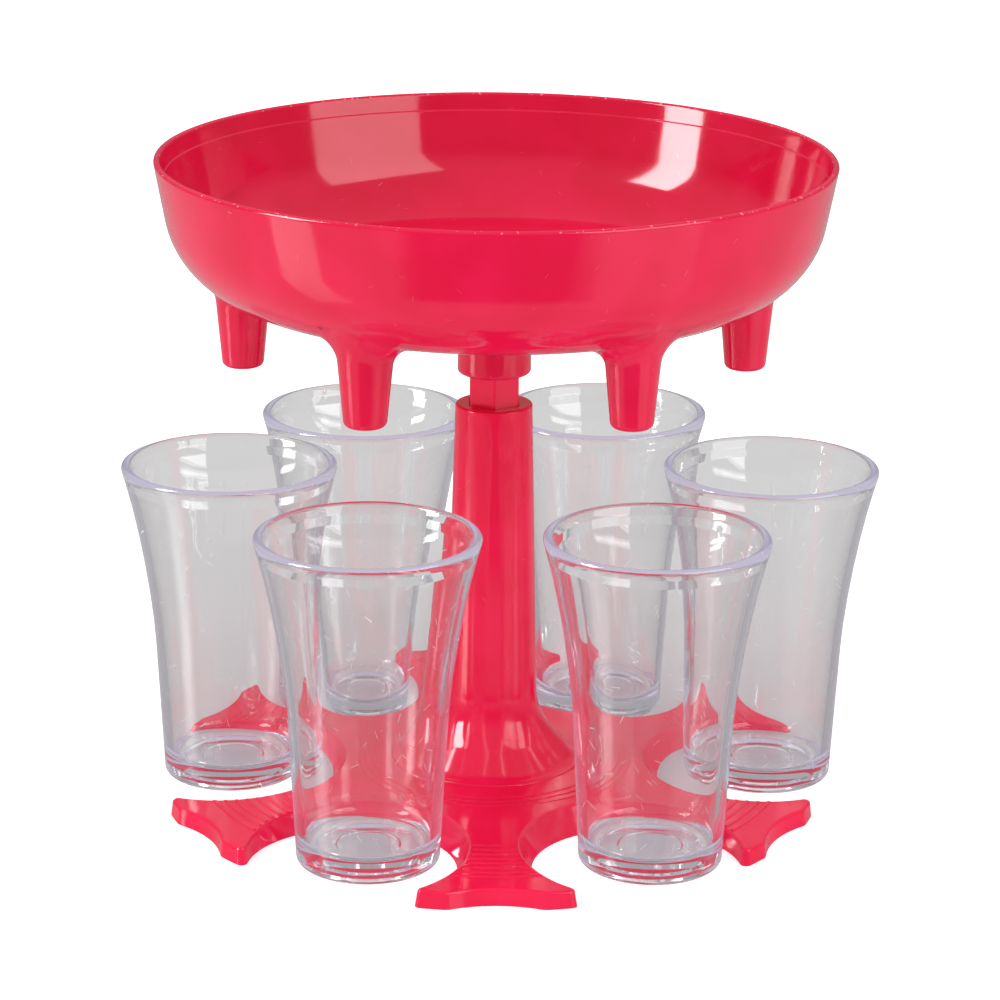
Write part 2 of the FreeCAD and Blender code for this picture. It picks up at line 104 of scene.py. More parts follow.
def add_node(tree: bpy.types.NodeTree, kind: str, inputs: dict | None = None,
             **settings) -> bpy.types.Node:
    """Adds a shader node.

    Args:
        tree: The tree that it goes into.
        kind: Its type, without the leading ShaderNode.
        inputs: Input name or number to a value, or to the output that feeds it.
            A node stands for its first output.
        **settings: Properties of the node.

    Returns:
        The node.
    """
    node = tree.nodes.new("ShaderNode" + kind)
    for name, value in settings.items():
        setattr(node, name, value)
    for key, value in (inputs or {}).items():
        source = value.outputs[0] if isinstance(value, bpy.types.Node) else value
        if isinstance(source, bpy.types.NodeSocket):
            tree.links.new(source, node.inputs[key])
        else:
            node.inputs[key].default_value = source
    return node


def new_tree(owner: bpy.types.Material | bpy.types.World) -> bpy.types.NodeTree:
    """Empties the node tree of a material or world and returns it."""
    owner.use_nodes = True
    owner.node_tree.nodes.clear()
    return owner.node_tree


class Ray(Enum):
    """Kinds of ray that are told apart."""
    CAMERA = "Is Camera Ray"
    DIFFUSE = "Is Diffuse Ray"
    GLOSSY = "Is Glossy Ray"
    SHADOW = "Is Shadow Ray"
    TRANSMISSION = "Is Transmission Ray"


@dataclass(frozen=True)
class HandlingMarks:
    """Pale pits and short straight scratches, scattered without order."""
    spacing: float                  # mean distance between possible marks
    pit: float                      # diameter of a pit
    scratch_length: float
    scratch_width: float
    pit_share: float                # how many of the possible pits there are
    scratch_share: float
    core: float = 0.6               # share of a mark's reach from its middle before it fades
    line_core: float = 0.5          # the same across a scratch
    middle: float = 0.5             # mean of a cell's random values
    shuffle: float = 23.7           # makes one random value of another

    def mask(self, tree: bpy.types.NodeTree, place: bpy.types.NodeSocket) -> bpy.types.Node:
        """Adds the nodes.

        A scratch is where the surface cuts a thin disc that stands about a
        random point.

        Args:
            tree: The node tree.
            place: Coordinates in metres.

        Returns:
            Node that gives 1 in a mark and 0 elsewhere.
        """
        pit_reach = 0.5 * self.pit / self.spacing
        scratch_reach = 0.5 * self.scratch_length / self.spacing
        half_width = 0.5 * self.scratch_width
        cells = add_node(tree, "TexVoronoi", {"Vector": place, "Scale": 1 / self.spacing}).outputs
        luck = add_node(tree, "SeparateColor", {"Color": cells["Color"]}).outputs

        near = add_node(tree, "MapRange", {
            "Value": cells["Distance"], "From Min": self.core * pit_reach, "From Max": pit_reach,
            "To Min": 1.0, "To Max": 0.0}, **SMOOTH)
        pitted = add_node(tree, "Math", {0: luck[0], 1: self.pit_share}, operation="LESS_THAN")
        pits = add_node(tree, "Math", {0: near, 1: pitted}, operation="MULTIPLY")

        offset = add_node(tree, "VectorMath", {0: place, 1: cells["Position"]},
                          operation="SUBTRACT")
        turn = add_node(tree, "VectorMath", {0: cells["Color"], 1: [self.middle] * 3},
                        operation="SUBTRACT")
        facing = add_node(tree, "VectorMath", {0: turn}, operation="NORMALIZE")
        across = add_node(tree, "VectorMath", {0: offset, 1: facing}, operation="DOT_PRODUCT")
        aside = add_node(tree, "Math", {0: across.outputs["Value"]}, operation="ABSOLUTE")
        line = add_node(tree, "MapRange", {
            "Value": aside, "From Min": self.line_core * half_width, "From Max": half_width,
            "To Min": 1.0, "To Max": 0.0}, **SMOOTH)
        short = add_node(tree, "MapRange", {
            "Value": cells["Distance"], "From Min": self.core * scratch_reach,
            "From Max": scratch_reach, "To Min": 1.0, "To Max": 0.0}, **SMOOTH)
        spread = add_node(tree, "Math", {0: luck[1], 1: self.shuffle}, operation="MULTIPLY")
        pick = add_node(tree, "Math", {0: spread}, operation="FRACT")
        scratched = add_node(tree, "Math", {0: pick, 1: self.scratch_share},
                             operation="LESS_THAN")
        stretch = add_node(tree, "Math", {0: short, 1: scratched}, operation="MULTIPLY")
        scratches = add_node(tree, "Math", {0: line, 1: stretch}, operation="MULTIPLY")
        return add_node(tree, "Math", {0: pits, 1: scratches}, operation="MAXIMUM")


# -------------------------------------------------------------------- finishes

@dataclass(frozen=True)
class GlossyPolypropylene:
    """Coloured polypropylene, injection moulded in a polished tool.

    The eye sees an even, deep colour under a clear gloss: soft lamps show as
    sharp shapes whose edges shiver with the slight waviness of the moulding,
    and handling leaves pale specks and hairlines in the gloss.
    """
    name: str = "glossy_polypropylene_pink_red"
    colour: str = "#EA1B4A"
    deep_colour: str = "#E31542"
    mark_colour: str = "#FF93A8"
    ior: float = 1.49
    roughness: float = 0.06
    roughest: float = 1.8           # roughness of the dullest spots, in times that of the clearest
    clear_below: float = 0.3        # level of the waviness where the gloss is clearest
    dull_above: float = 0.8         # and where it is dullest
    ripple: float = 16 * MM         # waviness of the moulded skin
    ripple_height: float = 0.016 * MM
    grain: float = 0.7 * MM         # drawn coarser than the real grain, to show
    grain_height: float = 0.0012 * MM
    marks: HandlingMarks = HandlingMarks(
        spacing=3.4 * MM, pit=0.34 * MM, scratch_length=1.9 * MM, scratch_width=0.11 * MM,
        pit_share=0.10, scratch_share=0.12)
    mark_strength: float = 0.26
    worn_above: float | None = None     # height over which edges are nicked, if they are
    worn_fade: float = 0.3 * MM
    nick: float = 0.9 * MM
    nick_low: float = 0.70          # levels of a noise between which a nick comes in
    nick_high: float = 0.78
    nick_strength: float = 0.7

    def worn_edge(self, tree: bpy.types.NodeTree,
                  place: bpy.types.NodeSocket) -> bpy.types.Node:
        """Nicks along the edges above the height given.

        Args:
            tree: The node tree.
            place: Coordinates in metres.

        Returns:
            Node that gives how far the colour is that of a mark.
        """
        height = add_node(tree, "SeparateXYZ", {"Vector": place}).outputs["Z"]
        edge = add_node(tree, "MapRange", {
            "Value": height, "From Min": self.worn_above,
            "From Max": self.worn_above + self.worn_fade}, **SMOOTH)
        chips = add_node(tree, "TexNoise", {
            "Vector": place, "Scale": 1 / self.nick, "Detail": 0.0})
        nicks = add_node(tree, "MapRange", {
            "Value": chips, "From Min": self.nick_low, "From Max": self.nick_high,
            "To Max": self.nick_strength}, **SMOOTH)
        return add_node(tree, "Math", {0: edge, 1: nicks}, operation="MULTIPLY")

    def material(self) -> bpy.types.Material:
        """Builds the material.

        Returns:
            The material.
        """
        made = bpy.data.materials.new(self.name)
        tree = new_tree(made)
        place = add_node(tree, "TexCoord").outputs["Object"]
        flow = add_node(tree, "TexNoise", {
            "Vector": place, "Scale": 1 / self.ripple, "Detail": 1.0})
        grain = add_node(tree, "TexNoise", {
            "Vector": place, "Scale": 1 / self.grain, "Detail": 0.0})

        depth = add_node(tree, "MapRange", {
            "Value": flow, "From Min": NOISE_LOW, "From Max": NOISE_HIGH}, **SMOOTH)
        body = add_node(tree, "MixRGB", {
            "Fac": depth, "Color1": srgb(self.colour), "Color2": srgb(self.deep_colour)})
        marks = add_node(tree, "Math", {
            0: self.marks.mask(tree, place), 1: self.mark_strength}, operation="MULTIPLY")
        if self.worn_above is not None:
            marks = add_node(tree, "Math", {0: marks, 1: self.worn_edge(tree, place)},
                             operation="MAXIMUM")
        base = add_node(tree, "MixRGB", {
            "Fac": marks, "Color1": body, "Color2": srgb(self.mark_colour)})
        rough = add_node(tree, "MapRange", {
            "Value": flow, "From Min": self.clear_below, "From Max": self.dull_above,
            "To Min": self.roughness, "To Max": self.roughness * self.roughest}, **SMOOTH)

        fine = add_node(tree, "Math", {0: grain, 1: self.grain_height / MM},
                        operation="MULTIPLY")
        relief = add_node(tree, "Math", {0: flow, 1: self.ripple_height / MM, 2: fine},
                          operation="MULTIPLY_ADD")
        skin = add_node(tree, "Bump", {"Height": relief, "Strength": 1.0, "Distance": MM})
        shader = add_node(tree, "BsdfPrincipled", {
            "Base Color": base, "Roughness": rough, "IOR": self.ior, "Normal": skin})
        add_node(tree, "OutputMaterial", {"Surface": shader})
        return made


@dataclass(frozen=True)
class ClearPolystyrene:
    """General-purpose polystyrene, injection moulded in polished steel.

    The eye sees a hard clear body with bright edges.  Its toner, which offsets
    the yellow of the resin, tints it lavender where the light's path is long, and
    the lavender of the lip and edges is a painted glow that stands in for light
    caught in the wall.
    """
    name: str = "clear_polystyrene"
    ior: float = 1.55
    roughness: float = 0.015
    tint: str = "#FAFAFC"           # what is left of white after tint_path
    tint_path: float = 10 * MM
    painted_glow: str = "#CAC4D6"        # painted glow: emission colour of the lip and edges, standing in for light that comes out after many reflections
    painted_glow_after: float = 2.5      # reflections inside the wall, after which the painted glow takes over
    lets_by: str = "#FAF9FB"        # what a face leaves of the light on its way to other pieces
    ripple: float = 11 * MM         # waviness of the moulded wall
    ripple_height: float = 0.03 * MM
    marks: HandlingMarks = HandlingMarks(
        spacing=4.5 * MM, pit=0.3 * MM, scratch_length=3.2 * MM, scratch_width=0.12 * MM,
        pit_share=0.06, scratch_share=0.22)
    mark_roughness: float = 0.3
    mark_whiteness: float = 0.4     # share of the light that a mark scatters

    def material(self) -> bpy.types.Material:
        """Builds the material.

        Returns:
            The material.
        """
        made = bpy.data.materials.new(self.name)
        tree = new_tree(made)
        place = add_node(tree, "TexCoord").outputs["Object"]
        marks = self.marks.mask(tree, place)
        flow = add_node(tree, "TexNoise", {
            "Vector": place, "Scale": 1 / self.ripple, "Detail": 0.0})
        waved = add_node(tree, "Bump", {
            "Height": flow, "Strength": 1.0, "Distance": self.ripple_height})
        clear = add_node(tree, "MapRange", {
            "Value": marks, "To Min": 1.0, "To Max": 1.0 - self.mark_whiteness}, **SMOOTH)
        rough = add_node(tree, "MapRange", {
            "Value": marks, "To Min": self.roughness, "To Max": self.mark_roughness}, **SMOOTH)
        shader = add_node(tree, "BsdfPrincipled", {
            "Base Color": srgb(WHITE), "IOR": self.ior, "Normal": waved,
            "Transmission Weight": clear, "Roughness": rough})

        lost = [-math.log(c) / self.tint_path for c in srgb(self.tint)[:3]]
        density = max(lost)
        toner = add_node(tree, "VolumeAbsorption", {
            "Color": (*[1 - loss / density for loss in lost], 1.0), "Density": density})

        # Painted glow: after a few reflections inside the wall the surface turns into a lavender
        # emission, in place of the light that would come out of the edges.
        rays = add_node(tree, "LightPath").outputs
        painted_glow_mask = add_node(tree, "Math", {0: rays["Glossy Depth"], 1: self.painted_glow_after},
                          operation="GREATER_THAN")
        lit = add_node(tree, "Emission", {"Color": srgb(self.painted_glow), "Strength": 1.0})
        wall = add_node(tree, "MixShader", {0: painted_glow_mask, 1: shader, 2: lit})
        passing = add_node(tree, "Math", {
            0: rays[Ray.SHADOW.value], 1: rays[Ray.DIFFUSE.value]}, operation="MAXIMUM")
        lets_by = add_node(tree, "BsdfTransparent", {"Color": srgb(self.lets_by)})
        surface = add_node(tree, "MixShader", {0: passing, 1: wall, 2: lets_by})
        add_node(tree, "OutputMaterial", {"Surface": surface, "Volume": toner})
        return made


@dataclass(frozen=True)
class ZincPlatedSteel:
    """Cold-headed steel screws with a thin bright zinc plating.

    The eye sees a slightly cloudy cool metal.
    """
    name: str = "zinc_plated_steel"
    colour: str = "#C9CCCE"
    cloud_colour: str = "#AEB3B8"
    roughness: float = 0.28
    cloud: float = 1.2 * MM         # size of the plating's cloudy patches
    cloud_roughness: float = 0.15   # added in them
    bright_below: float = 0.3       # level of the clouds where the plating is brightest
    dull_above: float = 0.7         # and where it is dullest
    relief: float = 0.02 * MM
    relief_strength: float = 0.2

    def material(self) -> bpy.types.Material:
        """Builds the material.

        Returns:
            The material.
        """
        made = bpy.data.materials.new(self.name)
        tree = new_tree(made)
        place = add_node(tree, "TexCoord").outputs["Object"]
        cloud = add_node(tree, "TexNoise", {
            "Vector": place, "Scale": 1 / self.cloud, "Detail": 3.0})
        patches = add_node(tree, "MapRange", {
            "Value": cloud, "From Min": NOISE_LOW, "From Max": NOISE_HIGH}, **SMOOTH)
        base = add_node(tree, "MixRGB", {
            "Fac": patches, "Color1": srgb(self.colour), "Color2": srgb(self.cloud_colour)})
        rough = add_node(tree, "MapRange", {
            "Value": cloud, "From Min": self.bright_below, "From Max": self.dull_above,
            "To Min": self.roughness, "To Max": self.roughness + self.cloud_roughness}, **SMOOTH)
        skin = add_node(tree, "Bump", {
            "Height": cloud, "Strength": self.relief_strength, "Distance": self.relief})
        shader = add_node(tree, "BsdfPrincipled", {
            "Base Color": base, "Metallic": 1.0, "Roughness": rough, "Normal": skin})
        add_node(tree, "OutputMaterial", {"Surface": shader})
        return made


# ---------------------------------------------------------------- mesh helpers

def finished(mesh: bmesh.types.BMesh, name: str,
             material: bpy.types.Material) -> bpy.types.Object:
    """Makes a smooth-shaded object of a mesh that is in its place.

    Args:
        mesh: The bmesh, which is freed.
        name: Name of the piece.
        material: Its material.

    Returns:
        The object, at the origin.
    """
    bmesh.ops.remove_doubles(mesh, verts=mesh.verts, dist=WELD)
    bmesh.ops.recalc_face_normals(mesh, faces=mesh.faces)
    data = bpy.data.meshes.new(name)
    mesh.to_mesh(data)
    mesh.free()
    data.shade_smooth()
    data.set_sharp_from_angle(angle=CREASE)
    data.materials.append(material)
    piece = bpy.data.objects.new(name, data)
    bpy.context.scene.collection.objects.link(piece)
    return piece


def rounded_profile(corners: list[tuple[float, float, float]], steps: int,
                    closed: bool = False) -> bmesh.types.BMesh:
    """Half section of a turned piece, with its corners rounded.

    A bevel's arc is an ellipse where the corner isn't square, so its offset is
    eased until its middle lies where a circle's would.

    Args:
        corners: (radius, height, rounding) of each corner.
        steps: Segments of each rounding.
        closed: Whether the last corner joins the first; otherwise both lie on the axis.

    Returns:
        A bmesh that holds the chain of edges in the XZ plane.
    """
    mesh = bmesh.new()
    verts = [mesh.verts.new((r, 0, z)) for r, z, _ in corners]
    for a, b in zip(verts, verts[1:] + verts[:1] if closed else verts[1:]):
        mesh.edges.new((a, b))
    for vert, (_, _, rounding) in zip(verts, corners):
        if rounding > 0:
            before, after = [(edge.other_vert(vert).co - vert.co).normalized()
                             for edge in vert.link_edges]
            half = before.angle(after) / 2
            ease = 1 / ((2 - math.sqrt(2)) * (1 + math.sin(half)))
            bmesh.ops.bevel(
                mesh, geom=[vert], offset=ease * rounding / math.tan(half),
                offset_type="OFFSET", affect="VERTICES", segments=steps, profile=SOFTLY,
                material=-1)
    return mesh


def spun(profile: bmesh.types.BMesh, segments: int,
         spot: Vector | None = None) -> bmesh.types.BMesh:
    """Turns a half section about the upright axis.

    Args:
        profile: The chain of edges, which becomes the turned mesh.
        segments: Steps of the full turn.
        spot: Where the axis goes afterwards; the origin if left out.

    Returns:
        The same bmesh.
    """
    bmesh.ops.spin(
        profile, geom=profile.verts[:] + profile.edges[:], cent=(0, 0, 0), axis=UP,
        dvec=(0, 0, 0), angle=2 * math.pi, steps=segments, use_merge=True)
    bmesh.ops.remove_doubles(profile, verts=profile.verts, dist=WELD)
    bmesh.ops.recalc_face_normals(profile, faces=profile.faces)
    if spot is not None:
        bmesh.ops.translate(profile, verts=profile.verts, vec=spot)
    return profile


def cut_away(piece: bpy.types.Object, cutter: bpy.types.Object) -> None:
    """Cuts one closed piece out of another and deletes the cutter.

    Args:
        piece: What is cut.
        cutter: The shape that is taken away.
    """
    cut = piece.modifiers.new("cut", "BOOLEAN")
    cut.object = cutter
    cut.solver = "EXACT"
    whole = piece.data
    graph = bpy.context.evaluated_depsgraph_get()
    piece.data = bpy.data.meshes.new_from_object(piece.evaluated_get(graph))
    piece.modifiers.clear()
    bpy.data.meshes.remove(whole)
    bpy.data.objects.remove(cutter)


# ---------------------------------------------------------------------- pieces

@dataclass
class ShotGlass:
    """Flared tumbler with a beaded lip, a thick base and a shallow punt."""
    place: str
    finish: bpy.types.Material
    rim_radius: float = 27.2 * MM   # where the wall would meet the top if the lip were sharp
    wall: float = 1.9 * MM
    lip: float = 2.4 * MM
    lip_round: float = 0.46         # rounding of its edges, in lips
    bead: float = 2.6 * MM          # depth of the thicker bead below the lip
    bead_run: float = 2.2 * MM      # height over which it thins to the wall
    bead_round: float = 1 * MM
    floor: float = 5.2 * MM
    floor_round: float = 3 * MM
    knee_height: float = 56.0 * MM
    knee_radius: float = 20.1 * MM
    knee_round: float = 230 * MM    # of the wall, where it begins to flare
    foot_radius: float = 17.2 * MM
    foot_round: float = 1.5 * MM
    punt_radius: float = 12.4 * MM
    punt_depth: float = 0.9 * MM
    punt_round: float = 0.4 * MM
    pip_radius: float = 7.6 * MM    # shallow round recess in the middle of the punt
    pip_depth: float = 0.5 * MM
    pip_round: float = 0.2 * MM
    round_steps: int = 6
    segments: int = 128

    @property
    def node(self) -> str:
        """The CAD node that this glass stands for."""
        return "shot_glass_" + self.place

    def profile(self) -> bmesh.types.BMesh:
        """Half section of the glass, standing on the origin.

        Returns:
            The chain of edges.
        """
        low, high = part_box(self.node)
        rim = self.rim_radius
        height = high.z - low.z
        slope = (rim - self.knee_radius) / (height - self.knee_height)
        lip_round = self.lip_round * self.lip
        pip_top = self.punt_depth + self.pip_depth
        under_bead = height - self.bead
        inner_bead = rim - slope * self.bead - self.lip
        inner_wall = inner_bead + self.lip - self.wall - slope * self.bead_run
        chain = rounded_profile([
            (0, pip_top, 0),
            (self.pip_radius, pip_top, self.pip_round),
            (self.pip_radius + self.pip_depth, self.punt_depth, self.pip_round),
            (self.punt_radius, self.punt_depth, self.punt_round),
            (self.punt_radius + self.punt_depth, 0, self.punt_round),
            (self.foot_radius, 0, self.foot_round),
            (self.knee_radius, self.knee_height, self.knee_round),
            (rim, height, lip_round),
            (rim - self.lip, height, lip_round),
            (inner_bead, under_bead, self.bead_round),
            (inner_wall, under_bead - self.bead_run, self.bead_round),
            (self.knee_radius - self.wall, self.knee_height, self.knee_round),
            (self.foot_radius - self.wall, self.floor, self.floor_round),
            (0, self.floor, 0),
        ], self.round_steps)
        reach = (high.x - low.x) / 2
        widest = max(vert.co.x for vert in chain.verts)
        bmesh.ops.scale(chain, verts=chain.verts, vec=(reach / widest, 1, 1))
        return chain

    def build(self) -> bpy.types.Object:
        """Turns the glass where its CAD node stands.

        Returns:
            The piece.
        """
        low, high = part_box(self.node)
        spot = Vector(((low.x + high.x) / 2, (low.y + high.y) / 2, low.z))
        mesh = spun(self.profile(), self.segments, spot)
        piece = finished(mesh, "clear_glass_" + self.place, self.finish)
        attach(piece, "glass_" + self.place)
        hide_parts(self.node)
        return piece


@dataclass
class DispenserBowl:
    """Round bowl with six tapered spouts and a central boss, moulded in one.

    The socket in the boss is left out, because the rod fills it.
    """
    finish: bpy.types.Material
    node: str = "dispenser_bowl"
    rim_radius: float = 82.5 * MM
    depth: float = 34.6 * MM        # from the wall's foot to the rim
    lean: float = 6.4 * MM          # rim radius less the radius at the wall's foot
    wall: float = 2.0 * MM
    lip: float = 1.7 * MM
    lip_depth: float = 4.3 * MM     # of the ledge inside the rim
    lip_round: float = 0.82 * MM
    ledge_round: float = 0.15 * MM
    corner_round: float = 24 * MM
    fall: float = 2.65 * MM         # of the floor, from the middle to the wall
    boss_radius: float = 9.05 * MM
    boss_length: float = 22 * MM
    boss_round: float = 1 * MM
    boss_fillet: float = 3 * MM
    spouts: int = 6
    spout_circle: float = 61.5 * MM
    spout_length: float = 19.3 * MM
    spout_tip: float = 5.0 * MM
    spout_root: float = 6.9 * MM
    spout_fillet: float = 5 * MM
    spout_round: float = 1.5 * MM
    inlet: float = 2.5 * MM
    outlet: float = 1.6 * MM
    skirt: float = 1.1              # reach of a root around its spout or boss, in fillets
    sunk: float = 0.4 * MM          # how deep a root is buried in the wall
    bend: int = 3                   # power by which a root's bend grows towards its top
    round_steps: int = 14
    segments: int = 256
    root_round_steps: int = 10
    root_segments: int = 72
    drill_segments: int = 48
    drill_turn: float = 0.4         # in steps, to keep its edges off the shell's own

    @property
    def rim_height(self) -> float:
        """Height of the rim, as the CAD has it."""
        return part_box(self.node)[1].z

    @property
    def middle_height(self) -> float:
        """Height of the underside on the axis."""
        return self.rim_height - self.depth + self.fall

    def shell(self) -> bmesh.types.BMesh:
        """Turned bowl without its spouts and boss.

        Returns:
            The mesh.
        """
        top = self.rim_height
        foot = top - self.depth
        foot_radius = self.rim_radius - self.lean
        step = self.wall - self.lip
        ledge = self.rim_radius - self.lip - self.lean * self.lip_depth / self.depth
        return spun(rounded_profile([
            (0, self.middle_height, 0),
            (foot_radius, foot, self.corner_round),
            (self.rim_radius, top, self.lip_round),
            (self.rim_radius - self.lip, top, self.lip_round),
            (ledge, top - self.lip_depth, self.ledge_round),
            (ledge - step, top - self.lip_depth - step, self.ledge_round),
            (foot_radius - self.wall, foot + self.wall, self.corner_round - self.wall),
            (0, self.middle_height + self.wall, 0),
        ], self.round_steps), self.segments)

    def seated(self, mesh: bmesh.types.BMesh, underside: BVHTree, tip: float,
               root: float) -> bmesh.types.BMesh:
        """Bends a spout or boss so that its root follows the bowl's underside.

        Args:
            mesh: The spout or boss, in its place.
            underside: The shell.
            tip: Height of its lower end.
            root: Height at which its root was drawn.

        Returns:
            The mesh.
        """
        for vert in mesh.verts:
            spot = underside.ray_cast(Vector((vert.co.x, vert.co.y, 0)), UP)[0]
            share = max(0.0, (vert.co.z - tip) / (root - tip)) ** self.bend
            vert.co.z += min(1.0, share) * (spot.z - root)
        return mesh

    def spout(self, turn: float, underside: BVHTree) -> bmesh.types.BMesh:
        """One spout with its bore.

        Args:
            turn: Its angle from the front, in degrees.
            underside: The shell.

        Returns:
            The mesh.
        """
        angle = math.radians(turn)
        spot = Vector((math.sin(angle), -math.cos(angle), 0)) * self.spout_circle
        root = underside.ray_cast(spot, UP)[0].z
        tip = root - self.spout_length
        skirt = self.spout_root + self.skirt * self.spout_fillet
        ring = rounded_profile([
            (self.inlet, root + self.sunk, 0),
            (self.outlet, tip, 0),
            (self.spout_tip, tip, self.spout_round),
            (self.spout_root, root, self.spout_fillet),
            (skirt, root, 0),
            (skirt, root + self.sunk, 0),
        ], self.root_round_steps, closed=True)
        return self.seated(spun(ring, self.root_segments, spot), underside, tip, root)

    def boss(self, underside: BVHTree) -> bmesh.types.BMesh:
        """The boss that holds the rod.

        Args:
            underside: The shell.

        Returns:
            The mesh.
        """
        root = self.middle_height
        tip = root - self.boss_length
        skirt = self.boss_radius + self.skirt * self.boss_fillet
        return self.seated(spun(rounded_profile([
            (0, tip, 0),
            (self.boss_radius, tip, self.boss_round),
            (self.boss_radius, root, self.boss_fillet),
            (skirt, root, 0),
            (skirt, root + self.sunk, 0),
            (0, root + self.sunk, 0),
        ], self.root_round_steps), self.root_segments), underside, tip, root)

    def drills(self, turns: list[float]) -> bpy.types.Object:
        """Upright cylinders that cut the spouts' bores through the floor.

        Args:
            turns: Angles of the spouts from the front, in degrees.

        Returns:
            The cylinders as one object.
        """
        mesh = bmesh.new()
        askew = Matrix.Rotation(self.drill_turn * 2 * math.pi / self.drill_segments, 4, "Z")
        start = Vector((0, -self.spout_circle, self.middle_height))
        for turn in turns:
            spot = Matrix.Rotation(math.radians(turn), 4, "Z") @ start
            bmesh.ops.create_cone(
                mesh, cap_ends=True, segments=self.drill_segments, radius1=self.inlet,
                radius2=self.inlet, depth=2 * self.corner_round,
                matrix=Matrix.Translation(spot) @ askew)
        return finished(mesh, "drills", self.finish)

    def build(self) -> bpy.types.Object:
        """Makes the bowl where its CAD node stands.

        Returns:
            The piece.
        """
        shell = self.shell()
        underside = BVHTree.FromBMesh(shell)
        turns = [(i + 0.5) * 360 / self.spouts for i in range(self.spouts)]
        roots = [self.spout(turn, underside) for turn in turns] + [self.boss(underside)]
        piece = finished(shell, "moulded_bowl", self.finish)
        cut_away(piece, self.drills(turns))
        whole = bmesh.new()
        whole.from_mesh(piece.data)
        for root in roots:
            part = bpy.data.meshes.new("root")
            root.to_mesh(part)
            root.free()
            whole.from_mesh(part)
            bpy.data.meshes.remove(part)
        whole.to_mesh(piece.data)
        whole.free()
        piece.data.shade_smooth()
        piece.data.set_sharp_from_angle(angle=CREASE)
        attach(piece, "bowl")
        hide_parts(self.node)
        return piece


@dataclass
class Mouldings:
    """The red plastic nodes that keep their CAD shapes."""
    finish: bpy.types.Material
    nodes: tuple[str, ...] = ("base_plate", "column", "hex_rod")

    def dress(self) -> list[bpy.types.Object]:
        """Gives each node its finish.

        Returns:
            The nodes.
        """
        return [dressed(node, self.finish) for node in self.nodes]


def dressed(node: str, material: bpy.types.Material) -> bpy.types.Object:
    """Puts a material in all slots of a CAD node and returns the node."""
    piece = frame["nodes"][node]
    for slot in piece.material_slots:
        slot.material = material
    if not piece.material_slots:
        piece.data.materials.append(material)
    return piece


# ---------------------------------------------------------------------- studio

@dataclass(frozen=True)
class SoftBox:
    """A rectangular studio lamp, aimed at the middle of the object."""
    name: str
    azimuth: float                  # degrees from the front, + to the right
    height: float                   # degrees above the horizon
    half_width: float               # degrees, as seen from the object
    half_height: float
    light: float                    # brightness for matt surfaces, where white paper is 1
    sheen: float                    # the same for glossy surfaces
    distance: float = 1.3
    lead: float = 20 * MM           # of the glossy face before the matt one

    def hang(self, aim: Vector) -> None:
        """Places the lamp, once for matt surfaces and once for glossy ones.

        Args:
            aim: The point that it faces.
        """
        turn, rise = math.radians(self.azimuth), math.radians(self.height)
        outwards = Vector((math.sin(turn) * math.cos(rise), -math.cos(turn) * math.cos(rise),
                           math.sin(rise)))
        facing = outwards.to_track_quat("Z", "Y").to_matrix().to_4x4()
        for use, brightness, near in (("light", self.light, 0.0), ("sheen", self.sheen, self.lead)):
            lamp = bpy.data.lights.new(self.name + "_" + use, "AREA")
            lamp.shape = "RECTANGLE"
            lamp.size = 2 * self.distance * math.tan(math.radians(self.half_width))
            lamp.size_y = 2 * self.distance * math.tan(math.radians(self.half_height))
            lamp.energy = brightness * math.pi * lamp.size * lamp.size_y
            hung = bpy.data.objects.new(lamp.name, lamp)
            hung.matrix_world = Matrix.Translation(aim + outwards * (self.distance - near)) @ facing
            hung.visible_camera = False
            hung.visible_glossy = hung.visible_transmission = use == "sheen"
            hung.visible_diffuse = use == "light"
            bpy.context.scene.collection.objects.link(hung)


